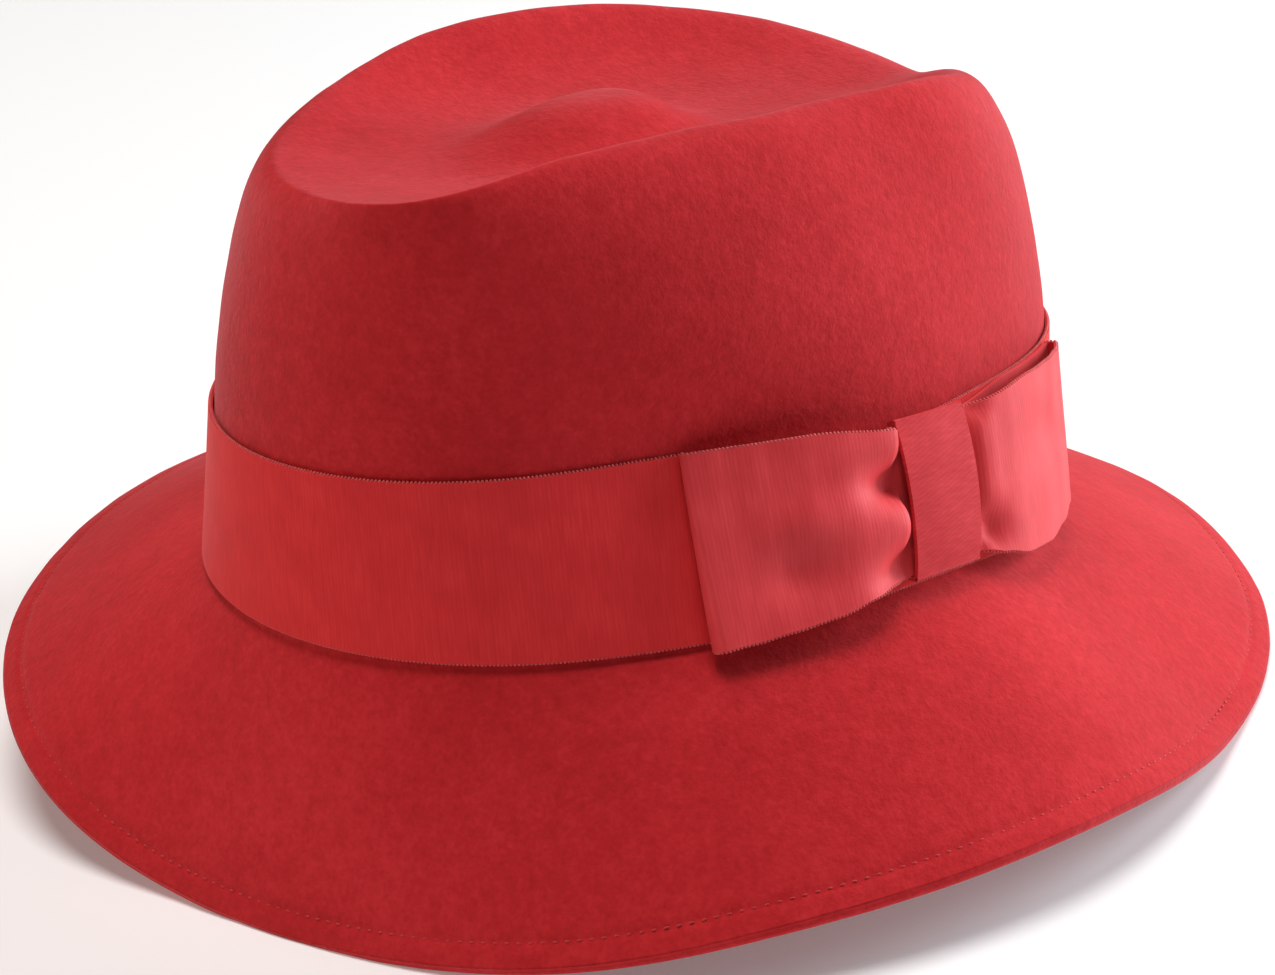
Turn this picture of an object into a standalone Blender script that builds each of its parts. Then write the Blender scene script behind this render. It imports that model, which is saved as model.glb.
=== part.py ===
"""A snap-brim felt fedora with a grosgrain ribbon band and a flat side bow.

Metres, +Z up. The front of the hat faces -Y and the bow sits on the +X side.
The hat is shaped about its own head line, the level line where the ribbon meets
the brim, and is then tipped to the way it lies on its brim on a flat surface.
"""

import math

import bmesh
import bpy
from mathutils import Matrix, Vector

# Felt body
HEAD_HALF_LENGTH = 0.1000
HEAD_HALF_WIDTH = 0.0866
BAND_TOP_HALF_LENGTH = 0.1034
BAND_TOP_HALF_WIDTH = 0.0759
BAND_TOP_SHIFT_BACK = 0.0032
BAND_HEIGHT = 0.0384
HEAD_LINE_SADDLE = 0.0015
HEAD_LINE_BOW_RISE = 0.0042
HEAD_LINE_BOW_SPREAD_DEG = 20.0
FELT_THICKNESS = 0.0020

# Brim, measured along its slope
BRIM_CURL_DEG = 5.0
TURNED_EDGE_FROM = 0.91
TURNED_EDGE_THICKNESS = 0.0036
TURNED_EDGE_ROUNDING = 0.0011
BRIM_STEPS = 6

# Crown ridge
RIDGE_HALF_LENGTH = 0.0850
RIDGE_HALF_WIDTH = 0.0530
RIDGE_CENTRE_Y = -0.0110
BACK_DIP_DEPTH = 0.0022
BACK_DIP_BEARING_DEG = 172.0
BACK_DIP_SPREAD_DEG = 8.0
WALL_BULGE = 1.55
WALL_RISE = 1.15

# Hollow in the crown top, with a low bump in its middle
HOLLOW_FLOOR = 0.0885
HOLLOW_STEEPNESS = 3.4
BUMP_HEIGHT = 0.0096
BUMP_X = -0.0015
BUMP_Y = -0.0050
BUMP_HALF_WIDTH = 0.0170
BUMP_FRONT_LENGTH = 0.0320
BUMP_BACK_LENGTH = 0.0180
BUMP_ROUNDNESS = 1.4

# Ribbon band
RIBBON_THICKNESS = 0.0010
GAP = 0.0003
BAND_BOTTOM = 0.0010
BAND_STEPS = 3
BAND_BOW_DROP = 0.0030
BAND_BOW_DROP_ANGLE_DEG = 88.0
BAND_BOW_DROP_SPREAD_DEG = 14.0

# Bow, placed along the band from the middle of its knot
KNOT_ANGLE_DEG = 96.0
KNOT_WIDTH = 0.0190
KNOT_BOTTOM = 0.0022
KNOT_TOP = 0.0375
KNOT_CROWN = 0.0020
KNOT_ROUNDING = 0.0010
KNOT_TUCK = 0.0004
KNOT_SHOULDER = 0.35
KNOT_STEPS = 4
WING_START = 0.0010
FRONT_WING_LENGTH = 0.0590
BACK_WING_LENGTH = 0.0640
WING_TOP = 0.0386
WING_PINCHED_TOP = 0.0361
FOLD_ROUNDNESS = 0.8
FRONT_WING_LEAN = 0.0015
BACK_WING_LEAN = 0.0055
FLARE_POWER = 1.3
WING_STEPS = 8

# Shares of a wing's length, out from the knot
KNOT_END = 0.16
PINCH_LENGTH = 0.35
LIFT_LENGTH = 0.03
WING_PLACES = (0.0, KNOT_END, 0.185, 0.23, 0.31, 0.42, 0.56, 0.72, 0.87)

# How far round the fold at a wing's end each of its rows lies
FOLD_PLACES = (0.0, 0.25, 0.5, 0.75, 1.0)

# How far the middle of each layer of the bow stands off the felt
LOWER_LAYER = 2.0 * GAP + 1.5 * RIBBON_THICKNESS
UPPER_LAYER = LOWER_LAYER + GAP + RIBBON_THICKNESS
KNOT_LAYER = UPPER_LAYER + GAP + RIBBON_THICKNESS

# How the hat lies on its brim
REST_PITCH_DEG = -5.69
REST_ROLL_DEG = -0.83
REST_LIFT = 0.0455
REST_SHIFT_X = 0.0035
REST_SHIFT_Y = -0.00995

# Mesh density, and how sharp a bend is left unsmoothed
COLUMNS = 64
SHARP_BEND_DEG = 50.0

# Rings of the felt: shares of the brim's width, heights, shares of the upper wall and
# shares of the way from the ridge to the middle of the hollow
BRIM_ROWS = (1.0, 0.955, 0.91, 0.78, 0.64, 0.50, 0.36, 0.22, 0.10, 0.03)
BAND_ROWS = (0.0, 0.003, 0.013, 0.026, BAND_HEIGHT)
UPPER_ROWS = (0.14, 0.30, 0.46, 0.62, 0.76, 0.87, 0.95)
HOLLOW_ROWS = (1.0, 0.955, 0.89, 0.79, 0.66, 0.52, 0.38, 0.24, 0.11)

# Rows just under the crest that only the outer face has, so the inner face can't cross itself
ROWS_UNDER_CREST = 2

# The brim round the head, from the front towards the bow
BRIM = (
    # angle_deg, slope_deg, width
    (0, 65.5, 0.0600),
    (30, 64, 0.0609),
    (60, 42, 0.0632),
    (90, 35.5, 0.0633),
    (120, 38, 0.0621),
    (150, 29, 0.0630),
    (180, 21.5, 0.0620),
    (210, 28, 0.0614),
    (240, 30, 0.0612),
    (270, 18.5, 0.0612),
    (300, 24.5, 0.0604),
    (330, 39, 0.0586),
)

# The crown's ridge, seen from above its centre, and its height over the head line
RIDGE = (
    # angle_deg, reach, height
    (0, 0.0775, 0.0925),
    (22.5, 0.0845, 0.0962),
    (45, 0.0650, 0.1025),
    (67.5, 0.0525, 0.1040),
    (90, 0.0510, 0.1040),
    (112.5, 0.0545, 0.1040),
    (135, 0.0705, 0.1035),
    (157.5, 0.0845, 0.0975),
    (180, 0.0855, 0.0940),
    (202.5, 0.0842, 0.0988),
    (225, 0.0700, 0.1035),
    (247.5, 0.0595, 0.1048),
    (270, 0.0570, 0.1030),
    (292.5, 0.0570, 0.0995),
    (315, 0.0605, 0.0965),
    (337.5, 0.0690, 0.0930),
)

# Shape of each wing's outer layer between the knot and its folded end
FRONT_WING = (
    # place_out, bottom, bulge, flare
    (0.00, 0.0034, 0.0000, 0.0000),
    (0.16, 0.0034, 0.0050, 0.0000),
    (0.25, 0.0030, 0.0054, 0.0000),
    (0.36, 0.0021, 0.0052, 0.0000),
    (0.52, 0.0008, 0.0042, 0.0006),
    (0.70, 0.0002, 0.0026, 0.0018),
    (0.86, -0.0004, 0.0012, 0.0028),
    (1.00, -0.0008, 0.0004, 0.0036),
)
BACK_WING = (
    # place_out, bottom, bulge, flare
    (0.00, 0.0034, 0.0000, 0.0000),
    (0.16, 0.0034, 0.0026, 0.0000),
    (0.25, 0.0020, 0.0038, 0.0000),
    (0.36, 0.0007, 0.0045, 0.0000),
    (0.52, 0.0010, 0.0045, 0.0000),
    (0.70, 0.0027, 0.0036, 0.0003),
    (0.86, 0.0043, 0.0026, 0.0006),
    (1.00, 0.0050, 0.0012, 0.0008),
)

# Hollows and ridges in each wing's outer layer, by place out and share of its height
FRONT_FOLDS = (
    # place_out, share_up, spread_out, spread_up, height
    (0.16, 0.66, 0.15, 0.14, -0.0078),
    (0.16, 0.09, 0.15, 0.15, -0.0078),
    (0.64, 0.28, 0.16, 0.16, -0.0024),
    (0.56, 0.54, 0.14, 0.14, 0.0010),
)
BACK_FOLDS = (
    # place_out, share_up, spread_out, spread_up, height
    (0.20, 0.16, 0.06, 0.14, -0.0036),
    (0.19, 0.98, 0.05, 0.08, -0.0024),
    (0.62, 0.62, 0.16, 0.16, -0.0012),
)

# Hand-pressed dents in the crown wall
DENTS = (
    # angle_deg, spread_deg, depth_at_head_line, depth_at_band_top, fade_height
    (62, 22, 0.0040, 0.0069, 0.0300),
)

FELT_COLOUR = (0.47, 0.020, 0.027, 1.0)
FELT_ROUGHNESS = 0.95
RIBBON_COLOUR = (0.52, 0.032, 0.036, 1.0)
RIBBON_ROUGHNESS = 0.75


def smooth(t):
    t = min(max(t, 0.0), 1.0)
    return t * t * (3.0 - 2.0 * t)


def hermite(v0, v1, v2, v3, t):
    """Catmull-Rom value between v1 and v2."""
    a = 2.0 * v1
    b = v2 - v0
    c = 2.0 * v0 - 5.0 * v1 + 4.0 * v2 - v3
    d = 3.0 * v1 - v0 - 3.0 * v2 + v3
    return 0.5 * (a + b * t + c * t * t + d * t ** 3)


def around(table, angle_deg, column):
    """Value of a closed table at an angle, smoothly between its evenly spaced rows."""
    step = 360.0 / len(table)
    place = (angle_deg % 360.0) / step
    i = int(place)
    rows = [table[(i + k) % len(table)][column] for k in (-1, 0, 1, 2)]
    return hermite(*rows, place - i)


def along(table, x, column):
    """Value of an open table at a place, eased between its rows."""
    for row, following in zip(table, table[1:]):
        if x <= following[0]:
            t = smooth((x - row[0]) / (following[0] - row[0]))
            return row[column] + (following[column] - row[column]) * t
    return table[-1][column]


def dent_depth(angle, height):
    total = 0.0
    for centre, spread, low, high, fade in DENTS:
        turn = (math.degrees(angle) - centre + 180.0) % 360.0 - 180.0
        depth = low + (high - low) * min(height / BAND_HEIGHT, 1.0)
        over = max(height - BAND_HEIGHT, 0.0)
        total += depth * math.exp(-(turn / spread) ** 2) * (1.0 - smooth(over / fade))
    return total


def wall_point(angle, height):
    """The felt's outer face between the head line and the top of the band."""
    t = height / BAND_HEIGHT
    turn = (math.degrees(angle) - KNOT_ANGLE_DEG + 180.0) % 360.0 - 180.0
    lift = HEAD_LINE_BOW_RISE * math.exp(-(turn / HEAD_LINE_BOW_SPREAD_DEG) ** 2) * (1.0 - t)
    half_width = HEAD_HALF_WIDTH + (BAND_TOP_HALF_WIDTH - HEAD_HALF_WIDTH) * t
    half_length = HEAD_HALF_LENGTH + (BAND_TOP_HALF_LENGTH - HEAD_HALF_LENGTH) * t
    x = half_width * math.sin(angle)
    y = -half_length * math.cos(angle)
    reach = math.hypot(x, y)
    shrink = (reach - dent_depth(angle, height)) / reach
    z = height + lift - HEAD_LINE_SADDLE * math.cos(2.0 * angle)
    return Vector((x * shrink, y * shrink + BAND_TOP_SHIFT_BACK * t, z))


def head_line_outward(angle):
    step = 0.01
    along_line = wall_point(angle + step, 0.0) - wall_point(angle - step, 0.0)
    return Vector((along_line.y, -along_line.x, 0.0)).normalized()


def wall_normal(angle, height):
    step = 0.002
    turn = 0.02
    across = wall_point(angle + turn, height) - wall_point(angle - turn, height)
    upward = wall_point(angle, height + step) - wall_point(angle, height - step)
    return across.cross(upward).normalized()


def brim_point(angle, place):
    """The brim's upper face, from the head line at 0 to the edge at 1."""
    slope = around(BRIM, math.degrees(angle), 1)
    width = around(BRIM, math.degrees(angle), 2)
    outward = head_line_outward(angle)
    point = wall_point(angle, 0.0)
    stretch = place * width / BRIM_STEPS
    for i in range(BRIM_STEPS):
        middle = (i + 0.5) * place / BRIM_STEPS
        lean = math.radians(slope + BRIM_CURL_DEG * (2.0 * middle - 1.0))
        point = point + outward * (stretch * math.cos(lean))
        point.z -= stretch * math.sin(lean)
    return point


def ridge_point(angle):
    """The crest that runs round the hollow of the crown, with a small dip at its back."""
    bearing = math.atan2(RIDGE_HALF_WIDTH * math.sin(angle), RIDGE_HALF_LENGTH * math.cos(angle))
    reach = around(RIDGE, math.degrees(bearing), 1)
    turn = math.degrees(bearing) % 360.0 - BACK_DIP_BEARING_DEG
    dip = BACK_DIP_DEPTH * math.exp(-(turn / BACK_DIP_SPREAD_DEG) ** 2)
    height = around(RIDGE, math.degrees(bearing), 2) - dip
    return Vector((reach * math.sin(bearing), RIDGE_CENTRE_Y - reach * math.cos(bearing), height))


def upper_wall_point(angle, t):
    """The crown wall above the band, from the band's top at 0 to the ridge at 1."""
    low = wall_point(angle, BAND_HEIGHT)
    high = ridge_point(angle)
    inward = t ** WALL_BULGE
    rise = math.sin(t * math.pi / 2.0) ** WALL_RISE
    point = low.lerp(high, inward)
    point.z = low.z + (high.z - low.z) * rise
    reach = math.hypot(point.x, point.y)
    height = BAND_HEIGHT + (point.z - low.z)
    back = dent_depth(angle, height) - dent_depth(angle, BAND_HEIGHT) * (1.0 - inward)
    shrink = (reach - back) / reach
    return Vector((point.x * shrink, point.y * shrink, point.z))


def hollow_point(angle, out):
    """The crown's top inside the ridge, from its middle at 0 to the ridge at 1."""
    crest = ridge_point(angle)
    centre = Vector((0.0, RIDGE_CENTRE_Y, 0.0))
    x = centre.x + (crest.x - centre.x) * out
    y = centre.y + (crest.y - centre.y) * out
    z = HOLLOW_FLOOR + (crest.z - HOLLOW_FLOOR) * out ** HOLLOW_STEEPNESS
    length = BUMP_FRONT_LENGTH if y < BUMP_Y else BUMP_BACK_LENGTH
    away = ((x - BUMP_X) / BUMP_HALF_WIDTH) ** 2 + ((y - BUMP_Y) / length) ** 2
    return Vector((x, y, z + BUMP_HEIGHT * math.exp(-away ** BUMP_ROUNDNESS)))


def column_angles():
    return [2.0 * math.pi * j / COLUMNS for j in range(COLUMNS)]


def felt_outer_rows():
    angles = column_angles()
    rows = [[brim_point(a, s) for a in angles] for s in BRIM_ROWS]
    rows += [[wall_point(a, h) for a in angles] for h in BAND_ROWS]
    rows += [[upper_wall_point(a, t) for a in angles] for t in UPPER_ROWS]
    rows += [[hollow_point(a, s) for a in angles] for s in HOLLOW_ROWS]
    return rows


def row_mitres(rows):
    """For each point of a grid of rings, the outward move that shifts both its sides by one."""
    mitres = []
    for i, row in enumerate(rows):
        line = []
        for j, point in enumerate(row):
            around_line = row[(j + 1) % len(row)] - row[j - 1]
            sides = []
            if i > 0:
                sides.append(around_line.cross(point - rows[i - 1][j]).normalized())
            if i < len(rows) - 1:
                sides.append(around_line.cross(rows[i + 1][j] - point).normalized())
            line.append((sides[0] + sides[-1]) / (1.0 + sides[0].dot(sides[-1])))
        mitres.append(line)
    return mitres


def offset_rows(rows, moves, distances):
    moved = []
    for row, line, distance in zip(rows, moves, distances):
        moved.append([p + m * distance for p, m in zip(row, line)])
    return moved


def rest_matrix():
    pitch = Matrix.Rotation(math.radians(REST_PITCH_DEG), 4, 'X')
    roll = Matrix.Rotation(math.radians(REST_ROLL_DEG), 4, 'Y')
    return Matrix.Translation((REST_SHIFT_X, REST_SHIFT_Y, REST_LIFT)) @ roll @ pitch


def principled(name, colour, roughness):
    material = bpy.data.materials.new(name)
    material.use_nodes = True
    shader = material.node_tree.nodes["Principled BSDF"]
    shader.inputs["Base Color"].default_value = colour
    shader.inputs["Roughness"].default_value = roughness
    shader.inputs["Metallic"].default_value = 0.0
    return material


def add_object(name, mesh_data, material, collection):
    obj = bpy.data.objects.new(name, mesh_data)
    mesh_data.materials.append(material)
    mesh_data.shade_smooth()
    mesh_data.set_sharp_from_angle(angle=math.radians(SHARP_BEND_DEG))
    collection.objects.link(obj)


def mesh_from(name, bm):
    bmesh.ops.recalc_face_normals(bm, faces=bm.faces)
    mesh_data = bpy.data.meshes.new(name)
    bm.to_mesh(mesh_data)
    bm.free()
    return mesh_data


def shell(name, rows):
    """A closed body through rings of points, capped at both ends and flat where it rests."""
    bm = bmesh.new()
    place = rest_matrix()
    rings = [[bm.verts.new(place @ p) for p in row] for row in rows]
    for ring, following in zip(rings, rings[1:]):
        for j in range(len(ring)):
            k = (j + 1) % len(ring)
            bm.faces.new((ring[j], ring[k], following[k], following[j]))
    fan(bm, rings[0], True)
    fan(bm, rings[-1], False)
    for vert in bm.verts:
        vert.co.z = max(vert.co.z, 0.0)
    return mesh_from(name, bm)


def fan(bm, ring, reverse):
    middle = bm.verts.new(sum((v.co for v in ring), Vector()) / len(ring))
    for j in range(len(ring)):
        k = (j + 1) % len(ring)
        pair = (ring[k], ring[j]) if reverse else (ring[j], ring[k])
        bm.faces.new((*pair, middle))


def felt_body(collection):
    """Crown and brim, one shell of felt with its edge turned under."""
    outer = felt_outer_rows()
    depths = [-TURNED_EDGE_THICKNESS if s >= TURNED_EDGE_FROM else -FELT_THICKNESS for s in BRIM_ROWS]
    depths += [-FELT_THICKNESS] * (len(outer) - len(BRIM_ROWS))
    inner = offset_rows(outer, row_mitres(outer), depths)
    crest = len(BRIM_ROWS) + len(BAND_ROWS) + len(UPPER_ROWS)
    del inner[crest - ROWS_UNDER_CREST:crest]
    lip = [p.lerp(q, 0.5) + (p - r).normalized() * TURNED_EDGE_ROUNDING
           for p, q, r in zip(outer[0], inner[0], outer[1])]
    rows = outer[::-1] + [lip] + inner
    felt = principled("red_felt", FELT_COLOUR, FELT_ROUGHNESS)
    add_object("felt_body", shell("felt_body", rows), felt, collection)


def band_point(distance, height, out):
    """A point over the band: along it from the knot, up its face, and out from the felt."""
    middle = wall_point(math.radians(KNOT_ANGLE_DEG), 0.5 * BAND_HEIGHT)
    beside = wall_point(math.radians(KNOT_ANGLE_DEG + 1.0), 0.5 * BAND_HEIGHT)
    angle = math.radians(KNOT_ANGLE_DEG + distance / (beside - middle).length)
    return wall_point(angle, height) + wall_normal(angle, height) * out


def grid_normal(grid, i, j, closed):
    count = len(grid)
    before = grid[i - 1] if closed or i > 0 else grid[i]
    after = grid[(i + 1) % count] if closed or i < count - 1 else grid[i]
    across = after[j] - before[j]
    upward = grid[i][min(j + 1, len(grid[i]) - 1)] - grid[i][max(j - 1, 0)]
    return across.cross(upward).normalized()


def thick_sheet(name, grid, closed):
    """A closed body of ribbon thickness round a grid of middle points."""
    bm = bmesh.new()
    place = rest_matrix()
    half = 0.5 * RIBBON_THICKNESS
    front = []
    back = []
    for i, line in enumerate(grid):
        normals = [grid_normal(grid, i, j, closed) for j in range(len(line))]
        front.append([bm.verts.new(place @ (p + n * half)) for p, n in zip(line, normals)])
        back.append([bm.verts.new(place @ (p - n * half)) for p, n in zip(line, normals)])
    count = len(grid)
    rows = len(grid[0])
    for i in range(count if closed else count - 1):
        k = (i + 1) % count
        for j in range(rows - 1):
            bm.faces.new((front[i][j], front[k][j], front[k][j + 1], front[i][j + 1]))
            bm.faces.new((back[i][j], back[i][j + 1], back[k][j + 1], back[k][j]))
        bm.faces.new((front[i][0], back[i][0], back[k][0], front[k][0]))
        bm.faces.new((front[i][-1], front[k][-1], back[k][-1], back[i][-1]))
    if not closed:
        for j in range(rows - 1):
            bm.faces.new((front[0][j], front[0][j + 1], back[0][j + 1], back[0][j]))
            bm.faces.new((front[-1][j], back[-1][j], back[-1][j + 1], front[-1][j + 1]))
    return mesh_from(name, bm)


def band_column(angle, steps):
    """Middle points up the band at an angle. Its top is pulled down a little behind the bow."""
    turn = (math.degrees(angle) - BAND_BOW_DROP_ANGLE_DEG + 180.0) % 360.0 - 180.0
    top = BAND_HEIGHT - BAND_BOW_DROP * math.exp(-(turn / BAND_BOW_DROP_SPREAD_DEG) ** 2)
    heights = [BAND_BOTTOM + (top - BAND_BOTTOM) * k / steps for k in range(steps + 1)]
    out = GAP + 0.5 * RIBBON_THICKNESS
    return [wall_point(angle, h) + wall_normal(angle, h) * out for h in heights]


def ribbon_band(collection, material):
    """The band round the crown's foot, one closed ring of ribbon."""
    grid = [band_column(a, BAND_STEPS) for a in column_angles()]
    add_object("ribbon_band", thick_sheet("ribbon_band", grid, True), material, collection)


def wing_heights(shape, place, shares):
    """Heights across a wing, pinched together at the knot."""
    bottom = along(shape, place, 1)
    opened = smooth((place - KNOT_END) / PINCH_LENGTH)
    top = WING_PINCHED_TOP + (WING_TOP - WING_PINCHED_TOP) * opened
    return [bottom + (top - bottom) * share for share in shares]


def wing_out(shape, folds, place, share):
    """How far a wing's outer layer stands off, share of the way up its height."""
    raised = along(shape, place, 2) + along(shape, place, 3) * (1.0 - share) ** FLARE_POWER
    for place_out, share_up, spread_out, spread_up, height in folds:
        away = ((place - place_out) / spread_out) ** 2 + ((share - share_up) / spread_up) ** 2
        raised += height * math.exp(-away)
    return UPPER_LAYER + max(raised, 0.0) * smooth((place - KNOT_END) / LIFT_LENGTH)


def wing_grid(shape, folds, length, lean, side, places, bends, steps):
    """Middle points of one loop of the bow: out along the band, folded, and back to the knot."""
    shares = [k / steps for k in range(steps + 1)]

    def line(place, insets, outs):
        reach = WING_START + place * (length - WING_START)
        leans = [side * lean * (share - 0.5) * place for share in shares]
        heights = wing_heights(shape, place, shares)
        return [band_point(side * (reach - inset - back), height, out)
                for inset, back, height, out in zip(insets, leans, heights, outs)]

    flat = [0.0] * len(shares)
    grid = [line(place, flat, [LOWER_LAYER] * len(shares)) for place in places]
    depths = [wing_out(shape, folds, 1.0, share) - LOWER_LAYER for share in shares]
    for bend in bends:
        tuck = 0.5 * FOLD_ROUNDNESS * (1.0 - math.sin(math.pi * bend))
        rise = 0.5 - 0.5 * math.cos(math.pi * bend)
        outs = [LOWER_LAYER + rise * depth for depth in depths]
        grid.append(line(1.0, [tuck * depth for depth in depths], outs))
    for place in places[::-1]:
        grid.append(line(place, flat, [wing_out(shape, folds, place, share) for share in shares]))
    return grid


def bow_wing(name, shape, folds, length, lean, side, collection, material):
    grid = wing_grid(shape, folds, length, lean, side, WING_PLACES, FOLD_PLACES, WING_STEPS)
    add_object(name, thick_sheet(name, grid, False), material, collection)


def bow_knot(collection, material):
    """The strip that holds the bow, wrapped over its top and bottom edges."""
    edge = 0.5 * (LOWER_LAYER + KNOT_LAYER)
    shoulder = KNOT_SHOULDER * (KNOT_TOP - KNOT_BOTTOM)
    profile = (
        # height, out
        (KNOT_BOTTOM + KNOT_TUCK, LOWER_LAYER),
        (KNOT_BOTTOM, edge),
        (KNOT_BOTTOM + KNOT_ROUNDING, KNOT_LAYER),
        (KNOT_BOTTOM + shoulder, KNOT_LAYER + KNOT_CROWN),
        (KNOT_TOP - shoulder, KNOT_LAYER + KNOT_CROWN),
        (KNOT_TOP - KNOT_ROUNDING, KNOT_LAYER),
        (KNOT_TOP, edge),
        (KNOT_TOP - KNOT_TUCK, LOWER_LAYER),
    )
    grid = []
    for k in range(KNOT_STEPS + 1):
        distance = KNOT_WIDTH * (k / KNOT_STEPS - 0.5)
        grid.append([band_point(distance, height, out) for height, out in profile])
    add_object("bow_knot", thick_sheet("bow_knot", grid, False), material, collection)


def build():
    for obj in list(bpy.data.objects):
        bpy.data.objects.remove(obj)
    collection = bpy.data.collections.new("fedora")
    bpy.context.scene.collection.children.link(collection)
    felt_body(collection)
    ribbon = principled("red_grosgrain", RIBBON_COLOUR, RIBBON_ROUGHNESS)
    ribbon_band(collection, ribbon)
    bow_wing("bow_front_wing", FRONT_WING, FRONT_FOLDS, FRONT_WING_LENGTH, FRONT_WING_LEAN, -1.0,
             collection, ribbon)
    bow_wing("bow_back_wing", BACK_WING, BACK_FOLDS, BACK_WING_LENGTH, BACK_WING_LEAN, 1.0,
             collection, ribbon)
    bow_knot(collection, ribbon)


build()
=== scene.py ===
"""Looks for the felt fedora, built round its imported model. Metres, +Z up, front of the hat -Y."""

import math

import bpy
import numpy as np
from mathutils import Matrix, Vector, noise


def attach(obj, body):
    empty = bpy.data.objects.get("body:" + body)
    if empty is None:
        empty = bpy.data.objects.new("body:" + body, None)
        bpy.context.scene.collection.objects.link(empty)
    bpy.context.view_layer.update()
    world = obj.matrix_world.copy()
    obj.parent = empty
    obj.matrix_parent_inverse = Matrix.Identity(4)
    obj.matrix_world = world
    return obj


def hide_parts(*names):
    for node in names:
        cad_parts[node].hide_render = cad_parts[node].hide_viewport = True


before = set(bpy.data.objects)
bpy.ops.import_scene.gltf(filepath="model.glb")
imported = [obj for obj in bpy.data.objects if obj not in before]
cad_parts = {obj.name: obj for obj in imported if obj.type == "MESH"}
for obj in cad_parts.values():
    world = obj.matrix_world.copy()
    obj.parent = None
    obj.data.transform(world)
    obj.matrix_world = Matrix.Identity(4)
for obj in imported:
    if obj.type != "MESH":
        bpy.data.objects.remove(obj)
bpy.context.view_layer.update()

# Felt body
HEAD_HALF_LENGTH = 0.1000
HEAD_HALF_WIDTH = 0.0866
BAND_TOP_HALF_LENGTH = 0.1034
BAND_TOP_HALF_WIDTH = 0.0759
BAND_TOP_SHIFT_BACK = 0.0032
BAND_HEIGHT = 0.0384
HEAD_LINE_SADDLE = 0.0015
HEAD_LINE_BOW_RISE = 0.0042
HEAD_LINE_BOW_SPREAD_DEG = 20.0
FELT_THICKNESS = 0.0020

# Brim, measured along its slope
BRIM_CURL_DEG = 5.0
TURNED_EDGE_THICKNESS = 0.0036
BRIM_STEPS = 6

# Crown ridge
RIDGE_HALF_LENGTH = 0.0850
RIDGE_HALF_WIDTH = 0.0530
RIDGE_CENTRE_Y = -0.0110
BACK_DIP_DEPTH = 0.0022
BACK_DIP_BEARING_DEG = 172.0
BACK_DIP_SPREAD_DEG = 8.0
WALL_BULGE = 1.55
WALL_RISE = 1.15

# Hollow in the crown top, with a low bump in its middle
HOLLOW_FLOOR = 0.0885
HOLLOW_STEEPNESS = 3.4
BUMP_HEIGHT = 0.0096
BUMP_X = -0.0015
BUMP_Y = -0.0050
BUMP_HALF_WIDTH = 0.0170
BUMP_FRONT_LENGTH = 0.0320
BUMP_BACK_LENGTH = 0.0180
BUMP_ROUNDNESS = 1.4

# Ribbon band
RIBBON_THICKNESS = 0.0010
GAP = 0.0003
BAND_BOTTOM = 0.0010
BAND_BOW_DROP = 0.0030
BAND_BOW_DROP_ANGLE_DEG = 88.0
BAND_BOW_DROP_SPREAD_DEG = 14.0

# Bow, placed along the band from the middle of its knot
KNOT_ANGLE_DEG = 96.0
KNOT_WIDTH = 0.0190
KNOT_BOTTOM = 0.0022
KNOT_TOP = 0.0375
KNOT_CROWN = 0.0020
KNOT_ROUNDING = 0.0010
WING_START = 0.0010
FRONT_WING_LENGTH = 0.0590
BACK_WING_LENGTH = 0.0640
WING_TOP = 0.0386
WING_PINCHED_TOP = 0.0361
FOLD_ROUNDNESS = 0.8
FRONT_WING_LEAN = 0.0015
BACK_WING_LEAN = 0.0055
FLARE_POWER = 1.3

# Shares of a wing's length, out from the knot
KNOT_END = 0.16
PINCH_LENGTH = 0.35
LIFT_LENGTH = 0.03

# How far the middle of each layer of the bow stands off the felt
LOWER_LAYER = 2.0 * GAP + 1.5 * RIBBON_THICKNESS
UPPER_LAYER = LOWER_LAYER + GAP + RIBBON_THICKNESS
KNOT_LAYER = UPPER_LAYER + GAP + RIBBON_THICKNESS

# How the hat lies on its brim
REST_PITCH_DEG = -5.69
REST_ROLL_DEG = -0.83
REST_LIFT = 0.0455
REST_SHIFT_X = 0.0035
REST_SHIFT_Y = -0.00995

# The brim round the head, from the front towards the bow
BRIM = (
    # angle_deg, slope_deg, width
    (0, 65.5, 0.0600),
    (30, 64, 0.0609),
    (60, 42, 0.0632),
    (90, 35.5, 0.0633),
    (120, 38, 0.0621),
    (150, 29, 0.0630),
    (180, 21.5, 0.0620),
    (210, 28, 0.0614),
    (240, 30, 0.0612),
    (270, 18.5, 0.0612),
    (300, 24.5, 0.0604),
    (330, 39, 0.0586),
)

# The crown's ridge, seen from above its centre, and its height over the head line
RIDGE = (
    # angle_deg, reach, height
    (0, 0.0775, 0.0925),
    (22.5, 0.0845, 0.0962),
    (45, 0.0650, 0.1025),
    (67.5, 0.0525, 0.1040),
    (90, 0.0510, 0.1040),
    (112.5, 0.0545, 0.1040),
    (135, 0.0705, 0.1035),
    (157.5, 0.0845, 0.0975),
    (180, 0.0855, 0.0940),
    (202.5, 0.0842, 0.0988),
    (225, 0.0700, 0.1035),
    (247.5, 0.0595, 0.1048),
    (270, 0.0570, 0.1030),
    (292.5, 0.0570, 0.0995),
    (315, 0.0605, 0.0965),
    (337.5, 0.0690, 0.0930),
)

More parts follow.
